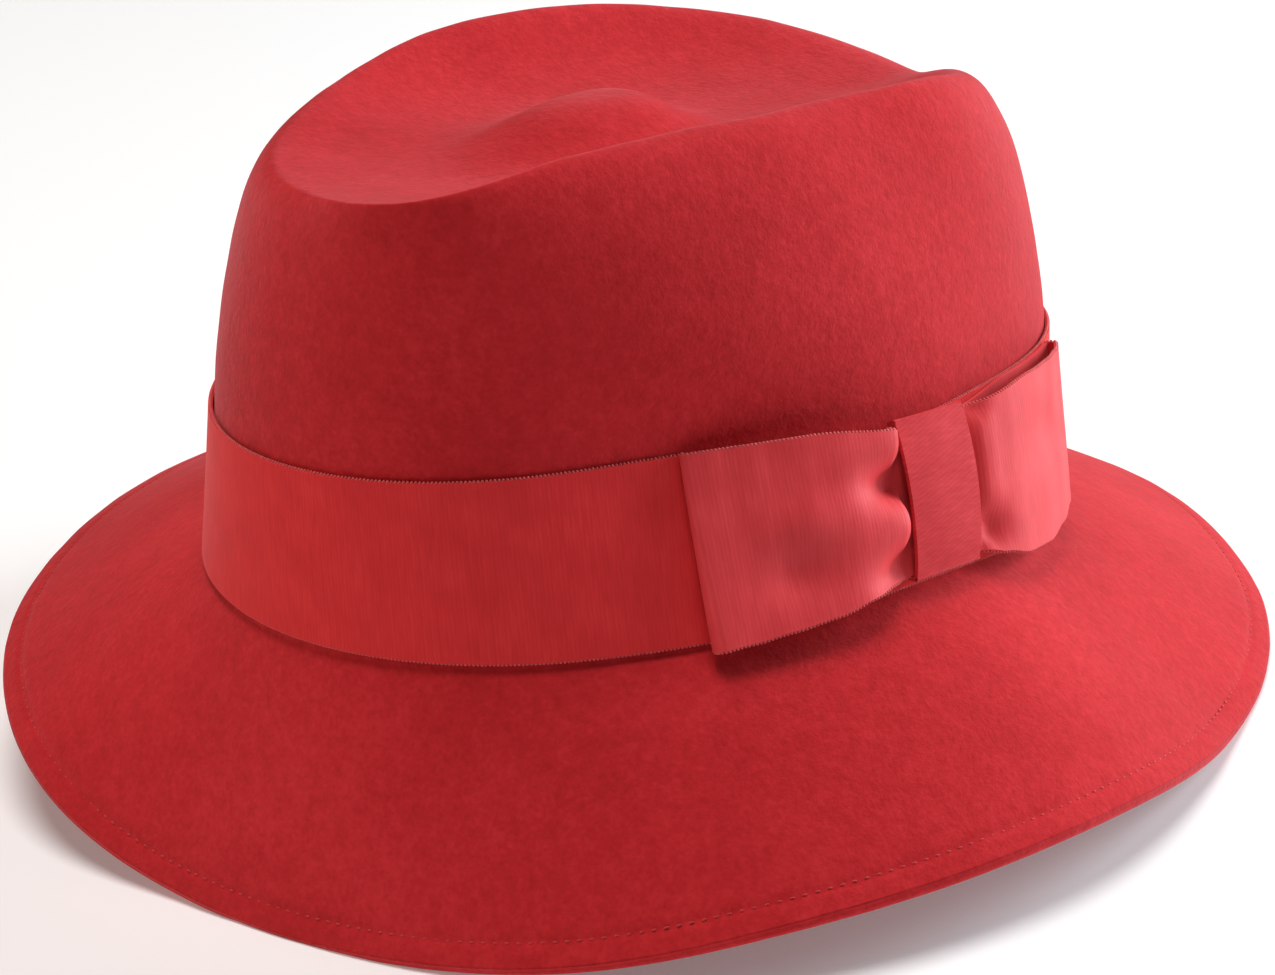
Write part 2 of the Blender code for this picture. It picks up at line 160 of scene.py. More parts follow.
# Shape of each wing's outer layer between the knot and its folded end
FRONT_WING = (
    # place_out, bottom, bulge, flare
    (0.00, 0.0034, 0.0000, 0.0000),
    (0.16, 0.0034, 0.0050, 0.0000),
    (0.25, 0.0030, 0.0054, 0.0000),
    (0.36, 0.0021, 0.0052, 0.0000),
    (0.52, 0.0008, 0.0042, 0.0006),
    (0.70, 0.0002, 0.0026, 0.0018),
    (0.86, -0.0004, 0.0012, 0.0028),
    (1.00, -0.0008, 0.0004, 0.0036),
)
BACK_WING = (
    # place_out, bottom, bulge, flare
    (0.00, 0.0034, 0.0000, 0.0000),
    (0.16, 0.0034, 0.0026, 0.0000),
    (0.25, 0.0020, 0.0038, 0.0000),
    (0.36, 0.0007, 0.0045, 0.0000),
    (0.52, 0.0010, 0.0045, 0.0000),
    (0.70, 0.0027, 0.0036, 0.0003),
    (0.86, 0.0043, 0.0026, 0.0006),
    (1.00, 0.0050, 0.0012, 0.0008),
)

# Hollows and ridges in each wing's outer layer, by place out and share of its height
FRONT_FOLDS = (
    # place_out, share_up, spread_out, spread_up, height
    (0.16, 0.66, 0.15, 0.14, -0.0078),
    (0.16, 0.09, 0.15, 0.15, -0.0078),
    (0.64, 0.28, 0.16, 0.16, -0.0024),
    (0.56, 0.54, 0.14, 0.14, 0.0010),
)
BACK_FOLDS = (
    # place_out, share_up, spread_out, spread_up, height
    (0.20, 0.16, 0.06, 0.14, -0.0036),
    (0.19, 0.98, 0.05, 0.08, -0.0024),
    (0.62, 0.62, 0.16, 0.16, -0.0012),
)

# Hand-pressed dents in the crown wall
DENTS = (
    # angle_deg, spread_deg, depth_at_head_line, depth_at_band_top, fade_height
    (62, 22, 0.0040, 0.0069, 0.0300),
)


def smooth(t):
    t = min(max(t, 0.0), 1.0)
    return t * t * (3.0 - 2.0 * t)


def hermite(v0, v1, v2, v3, t):
    """Catmull-Rom value between v1 and v2."""
    a = 2.0 * v1
    b = v2 - v0
    c = 2.0 * v0 - 5.0 * v1 + 4.0 * v2 - v3
    d = 3.0 * v1 - v0 - 3.0 * v2 + v3
    return 0.5 * (a + b * t + c * t * t + d * t ** 3)


def around(table, angle_deg, column):
    """Value of a closed table at an angle, smoothly between its evenly spaced rows."""
    step = 360.0 / len(table)
    place = (angle_deg % 360.0) / step
    i = int(place)
    rows = [table[(i + k) % len(table)][column] for k in (-1, 0, 1, 2)]
    return hermite(*rows, place - i)


def along(table, x, column):
    """Value of an open table at a place, eased between its rows."""
    for row, following in zip(table, table[1:]):
        if x <= following[0]:
            t = smooth((x - row[0]) / (following[0] - row[0]))
            return row[column] + (following[column] - row[column]) * t
    return table[-1][column]


def dent_depth(angle, height):
    total = 0.0
    for centre, spread, low, high, fade in DENTS:
        turn = (math.degrees(angle) - centre + 180.0) % 360.0 - 180.0
        depth = low + (high - low) * min(height / BAND_HEIGHT, 1.0)
        over = max(height - BAND_HEIGHT, 0.0)
        total += depth * math.exp(-(turn / spread) ** 2) * (1.0 - smooth(over / fade))
    return total


def wall_point(angle, height):
    """The felt's outer face between the head line and the top of the band."""
    t = height / BAND_HEIGHT
    turn = (math.degrees(angle) - KNOT_ANGLE_DEG + 180.0) % 360.0 - 180.0
    lift = HEAD_LINE_BOW_RISE * math.exp(-(turn / HEAD_LINE_BOW_SPREAD_DEG) ** 2) * (1.0 - t)
    half_width = HEAD_HALF_WIDTH + (BAND_TOP_HALF_WIDTH - HEAD_HALF_WIDTH) * t
    half_length = HEAD_HALF_LENGTH + (BAND_TOP_HALF_LENGTH - HEAD_HALF_LENGTH) * t
    x = half_width * math.sin(angle)
    y = -half_length * math.cos(angle)
    reach = math.hypot(x, y)
    shrink = (reach - dent_depth(angle, height)) / reach
    z = height + lift - HEAD_LINE_SADDLE * math.cos(2.0 * angle)
    return Vector((x * shrink, y * shrink + BAND_TOP_SHIFT_BACK * t, z))


def head_line_outward(angle):
    step = 0.01
    along_line = wall_point(angle + step, 0.0) - wall_point(angle - step, 0.0)
    return Vector((along_line.y, -along_line.x, 0.0)).normalized()


def wall_normal(angle, height):
    step = 0.002
    turn = 0.02
    across = wall_point(angle + turn, height) - wall_point(angle - turn, height)
    upward = wall_point(angle, height + step) - wall_point(angle, height - step)
    return across.cross(upward).normalized()


def brim_point(angle, place):
    """The brim's upper face, from the head line at 0 to the edge at 1."""
    slope = around(BRIM, math.degrees(angle), 1)
    width = around(BRIM, math.degrees(angle), 2)
    outward = head_line_outward(angle)
    point = wall_point(angle, 0.0)
    stretch = place * width / BRIM_STEPS
    for i in range(BRIM_STEPS):
        middle = (i + 0.5) * place / BRIM_STEPS
        lean = math.radians(slope + BRIM_CURL_DEG * (2.0 * middle - 1.0))
        point = point + outward * (stretch * math.cos(lean))
        point.z -= stretch * math.sin(lean)
    return point


def ridge_point(angle):
    """The crest that runs round the hollow of the crown, with a small dip at its back."""
    bearing = math.atan2(RIDGE_HALF_WIDTH * math.sin(angle), RIDGE_HALF_LENGTH * math.cos(angle))
    reach = around(RIDGE, math.degrees(bearing), 1)
    turn = math.degrees(bearing) % 360.0 - BACK_DIP_BEARING_DEG
    dip = BACK_DIP_DEPTH * math.exp(-(turn / BACK_DIP_SPREAD_DEG) ** 2)
    height = around(RIDGE, math.degrees(bearing), 2) - dip
    return Vector((reach * math.sin(bearing), RIDGE_CENTRE_Y - reach * math.cos(bearing), height))


def upper_wall_point(angle, t):
    """The crown wall above the band, from the band's top at 0 to the ridge at 1."""
    low = wall_point(angle, BAND_HEIGHT)
    high = ridge_point(angle)
    inward = t ** WALL_BULGE
    rise = math.sin(t * math.pi / 2.0) ** WALL_RISE
    point = low.lerp(high, inward)
    point.z = low.z + (high.z - low.z) * rise
    reach = math.hypot(point.x, point.y)
    height = BAND_HEIGHT + (point.z - low.z)
    back = dent_depth(angle, height) - dent_depth(angle, BAND_HEIGHT) * (1.0 - inward)
    shrink = (reach - back) / reach
    return Vector((point.x * shrink, point.y * shrink, point.z))


def hollow_point(angle, out):
    """The crown's top inside the ridge, from its middle at 0 to the ridge at 1."""
    crest = ridge_point(angle)
    centre = Vector((0.0, RIDGE_CENTRE_Y, 0.0))
    x = centre.x + (crest.x - centre.x) * out
    y = centre.y + (crest.y - centre.y) * out
    z = HOLLOW_FLOOR + (crest.z - HOLLOW_FLOOR) * out ** HOLLOW_STEEPNESS
    length = BUMP_FRONT_LENGTH if y < BUMP_Y else BUMP_BACK_LENGTH
    away = ((x - BUMP_X) / BUMP_HALF_WIDTH) ** 2 + ((y - BUMP_Y) / length) ** 2
    return Vector((x, y, z + BUMP_HEIGHT * math.exp(-away ** BUMP_ROUNDNESS)))


def rest_matrix():
    pitch = Matrix.Rotation(math.radians(REST_PITCH_DEG), 4, 'X')
    roll = Matrix.Rotation(math.radians(REST_ROLL_DEG), 4, 'Y')
    return Matrix.Translation((REST_SHIFT_X, REST_SHIFT_Y, REST_LIFT)) @ roll @ pitch


def band_point(distance, height, out):
    """A point over the band: along it from the knot, up its face, and out from the felt."""
    middle = wall_point(math.radians(KNOT_ANGLE_DEG), 0.5 * BAND_HEIGHT)
    beside = wall_point(math.radians(KNOT_ANGLE_DEG + 1.0), 0.5 * BAND_HEIGHT)
    angle = math.radians(KNOT_ANGLE_DEG + distance / (beside - middle).length)
    return wall_point(angle, height) + wall_normal(angle, height) * out


def band_column(angle, steps):
    """Middle points up the band at an angle. Its top is pulled down a little behind the bow."""
    turn = (math.degrees(angle) - BAND_BOW_DROP_ANGLE_DEG + 180.0) % 360.0 - 180.0
    top = BAND_HEIGHT - BAND_BOW_DROP * math.exp(-(turn / BAND_BOW_DROP_SPREAD_DEG) ** 2)
    heights = [BAND_BOTTOM + (top - BAND_BOTTOM) * k / steps for k in range(steps + 1)]
    out = GAP + 0.5 * RIBBON_THICKNESS
    return [wall_point(angle, h) + wall_normal(angle, h) * out for h in heights]


def wing_heights(shape, place, shares):
    """Heights across a wing, pinched together at the knot."""
    bottom = along(shape, place, 1)
    opened = smooth((place - KNOT_END) / PINCH_LENGTH)
    top = WING_PINCHED_TOP + (WING_TOP - WING_PINCHED_TOP) * opened
    return [bottom + (top - bottom) * share for share in shares]


def wing_out(shape, folds, place, share):
    """How far a wing's outer layer stands off, share of the way up its height."""
    raised = along(shape, place, 2) + along(shape, place, 3) * (1.0 - share) ** FLARE_POWER
    for place_out, share_up, spread_out, spread_up, height in folds:
        away = ((place - place_out) / spread_out) ** 2 + ((share - share_up) / spread_up) ** 2
        raised += height * math.exp(-away)
    return UPPER_LAYER + max(raised, 0.0) * smooth((place - KNOT_END) / LIFT_LENGTH)


def wing_grid(shape, folds, length, lean, side, places, bends, steps):
    """Middle points of one loop of the bow: out along the band, folded, and back to the knot."""
    shares = [k / steps for k in range(steps + 1)]

    def line(place, insets, outs):
        reach = WING_START + place * (length - WING_START)
        leans = [side * lean * (share - 0.5) * place for share in shares]
        heights = wing_heights(shape, place, shares)
        return [band_point(side * (reach - inset - back), height, out)
                for inset, back, height, out in zip(insets, leans, heights, outs)]

    flat = [0.0] * len(shares)
    grid = [line(place, flat, [LOWER_LAYER] * len(shares)) for place in places]
    depths = [wing_out(shape, folds, 1.0, share) - LOWER_LAYER for share in shares]
    for bend in bends:
        tuck = 0.5 * FOLD_ROUNDNESS * (1.0 - math.sin(math.pi * bend))
        rise = 0.5 - 0.5 * math.cos(math.pi * bend)
        outs = [LOWER_LAYER + rise * depth for depth in depths]
        grid.append(line(1.0, [tuck * depth for depth in depths], outs))
    for place in places[::-1]:
        grid.append(line(place, flat, [wing_out(shape, folds, place, share) for share in shares]))
    return grid


# The camera and the lights are set about the head line's own frame, then moved with the hat
PLACE = rest_matrix()
CAMERA_AZIMUTH_DEG = 49.03
CAMERA_ELEVATION_DEG = 20.05
CAMERA_ROLL_DEG = 0.51
CAMERA_DISTANCE = 0.85567
CAMERA_FOCAL_PX = 3771.72
CAMERA_CENTRE_PX = (631.67, 512.81)
CAMERA_NEAREST = 0.01
FRAME_PX = (1275, 975)
SENSOR_MM = 36.0

# Lights, measured from a point over the middle of the head line. They face a point in the crown.
LIGHT_ORIGIN = Vector((0.0, 0.0, 0.05))
LIGHT_TARGET = Vector((0.0, 0.0, 0.09))
LIGHTS = (
    # name, to the camera's right, up, back towards the camera, size, power, colour
    ("key", 1.15, 0.45, -0.20, 0.9, 20.5, (0.85, 0.95, 1.0)),
    ("warm_fill", -1.1, 0.15, 0.20, 0.7, 2.7, (1.0, 0.66, 0.48)),
    ("top", -0.30, 2.4, 1.00, 1.6, 52.0, (1.0, 0.96, 0.93)),
)
WORLD_COLOUR = (1.0, 1.0, 1.0, 1.0)
WORLD_STRENGTH = 0.05
FLOOR_REACH = 6.0

# Values set on each material's own shader
FELT_FINISH = {
    "Roughness": 0.93,
    "Specular IOR Level": 0.18,
    "Sheen Weight": 0.22,
    "Sheen Roughness": 0.45,
    "Sheen Tint": (1.0, 0.55, 0.60, 1.0),
}
BAND_FINISH = {
    "Roughness": 0.72,
    "Specular IOR Level": 0.14,
    "Sheen Weight": 0.14,
    "Sheen Roughness": 0.35,
    "Sheen Tint": (1.0, 0.50, 0.52, 1.0),
}
BOW_FINISH = {
    "Roughness": 0.60,
    "Specular IOR Level": 0.26,
    "Sheen Weight": 0.16,
    "Sheen Roughness": 0.35,
    "Sheen Tint": (1.0, 0.50, 0.52, 1.0),
}
BRIM_THREAD_FINISH = {"Roughness": 0.9, "Sheen Weight": 0.3}
EDGE_THREAD_FINISH = {"Roughness": 0.6, "Sheen Weight": 0.3}
FLOOR_FINISH = {
    "Base Color": (0.91, 0.92, 0.93, 1.0),
    "Emission Color": (0.97, 0.99, 1.0, 1.0),
    "Emission Strength": 0.15,
    "Roughness": 0.9,
}

# Colours from dark to light, and where on its noise each of them lies
FELT_COLOURS = ((0.42, 0.0107, 0.0140), (0.53, 0.0160, 0.0207), (0.64, 0.0270, 0.0340))
BAND_COLOURS = ((0.64, 0.026, 0.028), (0.72, 0.031, 0.034), (0.80, 0.041, 0.044))
# The bow's red is the band's red made lighter and pinker: painted light and painted highlight on the
# wings
BOW_PAINTED_LIGHT_COLOURS = ((0.67, 0.038, 0.046), (0.75, 0.049, 0.058), (0.84, 0.066, 0.076))
# The knot's red is the bow's red made darker: painted shade on the knot
KNOT_PAINTED_SHADE_COLOURS = ((0.50, 0.024, 0.031), (0.60, 0.036, 0.044), (0.71, 0.054, 0.063))
BRIM_THREAD_COLOURS = ((0.50, 0.017, 0.022), (0.57, 0.026, 0.032))
# The edge loops are lighter than the ribbon: a painted highlight where they catch the light
EDGE_THREAD_PAINTED_HIGHLIGHT_COLOURS = ((0.58, 0.045, 0.05), (0.72, 0.10, 0.10))
FELT_STOPS = (0.32, 0.50, 0.68)
RIBBON_STOPS = (0.30, 0.50, 0.70)
THREAD_STOPS = (0.35, 0.65)

# Noises: scale to the metre, detail and roughness
FELT_PATCHES = (22.0, 2.0, 0.5)
FELT_CLOUDS = (300.0, 3.0, 0.6)
FELT_FLECKS = (800.0, 2.0, 0.6)
FELT_LUMPS = (480.0, 2.0, 0.6)
FELT_NAP = (1500.0, 2.0, 0.7)
RIBBON_STREAKS = (1100.0, 2.0, 0.6)
RIBBON_PATCHES = (90.0, 2.0, 0.5)
THREAD_FIBRES = (1400.0, 2.0, 0.6)

# How much each noise counts in the colour
FELT_PATCH_SHARE = 0.35
FELT_CLOUD_SHARE = 0.35
FELT_FLECK_SHARE = 0.30
RIBBON_STREAK_SHARE = 0.45
RIBBON_PATCH_SHARE = 0.47
RIBBON_RIB_SHARE = 0.08

# Bumps: strength and height
FELT_LUMP_BUMP = (0.50, 0.0004)
FELT_NAP_BUMP = (0.5, 0.0002)
RIBBON_STREAK_BUMP = (0.18, 0.0002)
THREAD_BUMP = (0.4, 0.0001)
RIB_HEIGHT = 0.00012
STREAK_STRETCH = 0.12

# Ribs of the ribbon: how fast they go along it and up it, their pitch and their bump's strength
GROSGRAIN_RIBS = (1.0, 0.0, 0.00085, 0.09)
TWILL_RIBS = (-0.35, 1.0, 0.00095, 0.28)

# Felt: its rings are given as first, last, steps, and a power that spaces them
FELT_COLUMNS = 360
EDGE_RINGS = (1.0, 0.86, 16)
BRIM_RINGS = (0.86, 0.02, 34)
BAND_RINGS = (0.0, BAND_HEIGHT, 12)
UPPER_RINGS = (0.0, 1.0, 46, 0.85)
HOLLOW_RINGS = (0.985, 0.02, 44, 0.9)
CREST_SMOOTHING = 10

# Slight unevenness of the felt: scale to the metre and depth
UNEVENNESS = ((38.0, 0.00030), (110.0, 0.00014))

# The brim's rounded edge and the felt turned under it
EDGE_RADIUS = 0.0018
EDGE_INSET = 0.0007
EDGE_TURNS_DEG = (68, 45, 22, 0, -22, -45, -68)
RING_INSIDE_EDGE = 3
TURNED_PAST_STITCHES = 0.0006
TURNED_EDGE_STEP = 0.0008

# Rings of the inner face: all near the brim's edge, then one in a few, and none at the crest
FINE_INNER_RINGS = 22
INNER_RING_STEP = 3
RINGS_CLEAR_OF_CREST = CREST_SMOOTHING + 2

# Stitches round the brim
STITCH_FROM_EDGE = 0.0053
STITCH_GROOVE = 0.00035
STITCH_GROOVE_WIDTH = 0.0011
STITCH_PITCH = 0.0026
STITCH_HALF_LENGTH = 0.0005
STITCH_RADIUS = 0.00022
STITCH_LOWEST = 0.00002
STITCH_TURN_STEP = 0.01
STITCH_PLACE_STEP = 0.02
LAST_STITCH_GAP = 0.004
STITCH_RINGS = (
    # place along its half length, share of its radius
    (-1.0, 0.35),
    (-0.6, 0.9),
    (0.0, 1.0),
    (0.6, 0.9),
    (1.0, 0.35),
)

# Woven loops along the ribbons' edges
LOOP_PITCH = 0.00085
LOOP_RADIUS = 0.00034
LOOP_STRETCH = 1.5
LOOP_TURNS_DEG = (-60, -20, 20, 60)

# Mesh density of the ribbons, and how sharp a bend is left unsmoothed
BAND_COLUMNS = 480
BAND_ROWS = 16
WING_ROWS = 32
WING_UNDER_KNOT_STEPS = 3
WING_STEPS = 50
WING_LAST_PLACE = 0.95
WING_FOLD_STEPS = 10
WING_TEXTURE_WIDTH = 0.038
KNOT_COLUMNS = 24
KNOT_FACE_STEPS = 24
KNOT_EDGE_STEPS = 8
KNOT_EDGE_TUCK = 0.6
KNOT_EDGE_DEPTH = 0.9
KNOT_FULLNESS = 0.7
TUBE_SIDES = 6
SHARP_BEND_DEG = 60.0


# Camera, lights and floor
def link(obj):
    bpy.context.scene.collection.objects.link(obj)
    return obj


def camera_axes():
    """The camera's right, up and back directions."""
    az = math.radians(CAMERA_AZIMUTH_DEG)
    el = math.radians(CAMERA_ELEVATION_DEG)
    roll = math.radians(CAMERA_ROLL_DEG)
    back = Vector((math.sin(az) * math.cos(el), -math.cos(az) * math.cos(el), math.sin(el)))
    level = Vector((math.cos(az), math.sin(az), 0.0))
    upright = back.cross(level)
    right = level * math.cos(roll) - upright * math.sin(roll)
    up = level * math.sin(roll) + upright * math.cos(roll)
    return right, up, back


def add_camera():
    right, up, back = camera_axes()
    place = Matrix((right, up, back)).transposed().to_4x4()
    place.translation = back * CAMERA_DISTANCE
    data = bpy.data.cameras.new("camera")
    data.sensor_width = SENSOR_MM
    data.lens = CAMERA_FOCAL_PX / FRAME_PX[0] * SENSOR_MM
    data.shift_x = (0.5 * FRAME_PX[0] - CAMERA_CENTRE_PX[0]) / FRAME_PX[0]
    data.shift_y = (CAMERA_CENTRE_PX[1] - 0.5 * FRAME_PX[1]) / FRAME_PX[0]
    data.clip_start = CAMERA_NEAREST
    camera = link(bpy.data.objects.new("camera", data))
    camera.matrix_world = PLACE @ place
    bpy.context.scene.camera = camera


def add_light(name, aside, above, toward, size, power, colour):
    """A round area light."""
    right, up, back = camera_axes()
    spot = PLACE @ (right * aside + up * above + back * toward + LIGHT_ORIGIN)
    data = bpy.data.lights.new(name, "AREA")
    data.shape = "DISK"
    data.size = size
    data.energy = power
    data.color = colour
    light = link(bpy.data.objects.new(name, data))
    light.location = spot
    light.rotation_euler = (LIGHT_TARGET - spot).to_track_quat("-Z", "Y").to_euler()


def add_world():
    world = bpy.data.worlds.new("studio")
    bpy.context.scene.world = world
    world.use_nodes = True
    background = world.node_tree.nodes["Background"]
    background.inputs["Color"].default_value = WORLD_COLOUR
    background.inputs["Strength"].default_value = WORLD_STRENGTH


def add_floor():
    far = FLOOR_REACH
    data = bpy.data.meshes.new("floor")
    corners = [(-far, -far, 0.0), (far, -far, 0.0), (far, far, 0.0), (-far, far, 0.0)]
    data.from_pydata(corners, [], [(0, 1, 2, 3)])
    data.materials.append(new_material("pale_floor", FLOOR_FINISH))
    link(bpy.data.objects.new("floor", data))


# Materials
def new_material(name, finish):
    """A material with its finish set on the shader's own sockets."""
    material = bpy.data.materials.new(name)
    material.use_nodes = True
    shader = material.node_tree.nodes["Principled BSDF"]
    for socket, value in finish.items():
        shader.inputs[socket].default_value = value
    return material


def to_shader(tree, socket, value):
    tree.links.new(value, tree.nodes["Principled BSDF"].inputs[socket])


def math_node(tree, operation, *values):
    node = tree.nodes.new("ShaderNodeMath")
    node.operation = operation
    for socket, value in zip(node.inputs, values):
        if isinstance(value, (int, float)):
            socket.default_value = value
        else:
            tree.links.new(value, socket)
    return node.outputs[0]


def weighted_sum(tree, *parts):
    """The sum of values times their weights."""
    total = 0.0
    for value, weight in parts:
        total = math_node(tree, "MULTIPLY_ADD", value, weight, total)
    return total


def noise_node(tree, vector, scale, detail, roughness):
    node = tree.nodes.new("ShaderNodeTexNoise")
    node.inputs["Scale"].default_value = scale
    node.inputs["Detail"].default_value = detail
    node.inputs["Roughness"].default_value = roughness
    tree.links.new(vector, node.inputs["Vector"])
    return node.outputs["Fac"]


def ramp_node(tree, value, places, colours):
    node = tree.nodes.new("ShaderNodeValToRGB")
    elements = node.color_ramp.elements
    while len(elements) < len(colours):
        elements.new(0.5)
    for element, place, colour in zip(elements, places, colours):
        element.position = place
        element.color = (*colour, 1.0)
    tree.links.new(value, node.inputs[0])
    return node.outputs["Color"]


def bump_node(tree, height, strength, distance, normal=None):
    node = tree.nodes.new("ShaderNodeBump")
    node.inputs["Strength"].default_value = strength
    node.inputs["Distance"].default_value = distance
    tree.links.new(height, node.inputs["Height"])
    if normal is not None:
        tree.links.new(normal, node.inputs["Normal"])
    return node.outputs["Normal"]


def felt_material():
    """Pressed wool: patches, clouds and flecks of colour, with a short soft nap."""
    material = new_material("red_felt_wool", FELT_FINISH)
    tree = material.node_tree
    where = tree.nodes.new("ShaderNodeTexCoord").outputs["Object"]
    mixed = weighted_sum(
        tree,
        (noise_node(tree, where, *FELT_FLECKS), FELT_FLECK_SHARE),
        (noise_node(tree, where, *FELT_PATCHES), FELT_PATCH_SHARE),
        (noise_node(tree, where, *FELT_CLOUDS), FELT_CLOUD_SHARE))
    to_shader(tree, "Base Color", ramp_node(tree, mixed, FELT_STOPS, FELT_COLOURS))
    lumps = bump_node(tree, noise_node(tree, where, *FELT_LUMPS), *FELT_LUMP_BUMP)
    nap = noise_node(tree, where, *FELT_NAP)
    to_shader(tree, "Normal", bump_node(tree, nap, *FELT_NAP_BUMP, lumps))
    return material


def ribbon_material(name, ribs, colours, finish):
    """Fine ribs with streaky threads. The ribbon's coordinates are in metres."""
    along_ribbon, up_ribbon, pitch, strength = ribs
    material = new_material(name, finish)
    tree = material.node_tree
    uv = tree.nodes.new("ShaderNodeUVMap")
    uv.uv_map = "ribbon"
    split = tree.nodes.new("ShaderNodeSeparateXYZ")
    tree.links.new(uv.outputs["UV"], split.inputs[0])
    slanted = weighted_sum(tree, (split.outputs["Y"], up_ribbon), (split.outputs["X"], along_ribbon))
    phase = math_node(tree, "MULTIPLY", slanted, 2.0 * math.pi / pitch)
    rib = math_node(tree, "MULTIPLY_ADD", math_node(tree, "SINE", phase), 0.5, 0.5)
    stretch = tree.nodes.new("ShaderNodeMapping")
    tree.links.new(uv.outputs["UV"], stretch.inputs["Vector"])
    stretch.inputs["Scale"].default_value = (
        along_ribbon + STREAK_STRETCH * up_ribbon, up_ribbon + STREAK_STRETCH * along_ribbon, 1.0)
    streak = noise_node(tree, stretch.outputs["Vector"], *RIBBON_STREAKS)
    patch = noise_node(tree, uv.outputs["UV"], *RIBBON_PATCHES)
    mixed = weighted_sum(tree, (rib, RIBBON_RIB_SHARE), (patch, RIBBON_PATCH_SHARE),
                         (streak, RIBBON_STREAK_SHARE))
    to_shader(tree, "Base Color", ramp_node(tree, mixed, RIBBON_STOPS, colours))
    thread = bump_node(tree, streak, *RIBBON_STREAK_BUMP)
    to_shader(tree, "Normal", bump_node(tree, rib, strength, RIB_HEIGHT, thread))
    return material


def thread_material(name, colours, finish):
    """Sewing thread or the loops of a woven edge, with fine fibres."""
    material = new_material(name, finish)
    tree = material.node_tree
    where = tree.nodes.new("ShaderNodeTexCoord").outputs["Object"]
    fibre = noise_node(tree, where, *THREAD_FIBRES)
    to_shader(tree, "Base Color", ramp_node(tree, fibre, THREAD_STOPS, colours))
    to_shader(tree, "Normal", bump_node(tree, fibre, *THREAD_BUMP))
    return material


# Mesh helpers
def mesh_piece(name, verts, faces, material, slot):
    """A smooth-shaded piece that rides with the hat."""
    data = bpy.data.meshes.new(name)
    data.from_pydata([tuple(v) for v in verts], [], faces)
    data.shade_smooth()
    data.materials.append(material)
    piece = link(bpy.data.objects.new(name, data))
    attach(piece, "root")
    return piece


def spread(first, last, steps, power=1.0):
    """Values from first to last. A power under 1 crowds them towards the last."""
    return [first + (last - first) * (k / steps) ** power for k in range(steps + 1)]


def point_array(rows):
    return np.array([[tuple(p) for p in row] for row in rows])


def ring_normals(grid):
    """Outward normals of a grid of closed rings, height by width by 3."""
    along_row = np.roll(grid, -1, axis=1) - np.roll(grid, 1, axis=1)
    up_row = np.empty_like(grid)
    up_row[1:-1] = grid[2:] - grid[:-2]
    up_row[0] = grid[1] - grid[0]
    up_row[-1] = grid[-1] - grid[-2]
    normal = np.cross(along_row, up_row)
    return normal / np.linalg.norm(normal, axis=2, keepdims=True)


def tube_ring(centre, first, second, radius):
    """Corners of a small ring in the plane of two directions."""
    corners = []
    for k in range(TUBE_SIDES):
        turn = 2.0 * math.pi * k / TUBE_SIDES
        offset = first * math.cos(turn) + second * math.sin(turn)
        corners.append(PLACE @ (centre + offset * radius))
    return corners


def tube_faces(base, rings):
    """Faces of a small closed tube, whose rings of corners follow each other from base."""
    faces = []
    last = base + TUBE_SIDES * (rings - 1)
    for start in range(base, last, TUBE_SIDES):
        for k in range(TUBE_SIDES):
            m = (k + 1) % TUBE_SIDES
            faces.append((start + k, start + m, start + TUBE_SIDES + m, start + TUBE_SIDES + k))
    faces.append(tuple(base + k for k in reversed(range(TUBE_SIDES))))
    faces.append(tuple(last + k for k in range(TUBE_SIDES)))
    return faces


# Felt
def felt_rings():
    """Rings of the felt's outer face, from the brim's edge over the crown into its hollow.

    With them come the places of the rings on the brim, the brim's widths and the crest's ring.
    """
    angles = [2.0 * math.pi * j / FELT_COLUMNS for j in range(FELT_COLUMNS)]
    places = spread(*EDGE_RINGS)[:-1] + spread(*BRIM_RINGS)
    shares = spread(*UPPER_RINGS)[1:]
    rings = [[brim_point(a, s) for a in angles] for s in places]
    rings += [[wall_point(a, h) for a in angles] for h in spread(*BAND_RINGS)]
    crest = len(rings) + len(shares) - 1
    rings += [[upper_wall_point(a, t) for a in angles] for t in shares]
    rings += [[hollow_point(a, s) for a in angles] for s in spread(*HOLLOW_RINGS)]
    widths = np.array([around(BRIM, math.degrees(a), 2) for a in angles])
    return point_array(rings), places, widths, crest


def smooth_crest(grid, crest):
    """Rounds the crest by averaging its rings with their neighbours, over fewer of them each time."""
    for step in range(CREST_SMOOTHING):
        low = crest - CREST_SMOOTHING + step // 2
        high = crest + CREST_SMOOTHING - step // 2
        beside = grid[low - 1:high - 1] + grid[low + 1:high + 1]
        grid[low:high] = 0.5 * grid[low:high] + 0.25 * beside


def uneven(grid, normals):
    moved = grid.copy()
    for i in range(grid.shape[0]):
        for j in range(grid.shape[1]):
            p = Vector(grid[i, j])
            push = sum(depth * noise.noise(p * scale) for scale, depth in UNEVENNESS)
            moved[i, j] += normals[i, j] * push
    return moved


def press_groove(outer, normals, places, widths):
    """The shallow groove that the stitches lie in."""
    for i, place in enumerate(places):
        inset = (1.0 - place) * widths
        groove = np.exp(-((inset - STITCH_FROM_EDGE) / STITCH_GROOVE_WIDTH) ** 2)
        outer[i] -= normals[i] * (STITCH_GROOVE * groove)[:, None]


def edge_rings(outer, normals):
    """Rings round the brim's rounded edge."""
    edge = outer[0]
    outward = edge - outer[RING_INSIDE_EDGE]
    outward -= normals[0] * np.sum(outward * normals[0], axis=1, keepdims=True)
    outward /= np.linalg.norm(outward, axis=1, keepdims=True)
    centre = edge - normals[0] * EDGE_RADIUS - outward * EDGE_INSET
    rings = []
    for turn in EDGE_TURNS_DEG:
        c = math.cos(math.radians(turn))
        s = math.sin(math.radians(turn))
        rings.append(centre + outward * (c * EDGE_RADIUS) + normals[0] * (s * EDGE_RADIUS))
    return rings


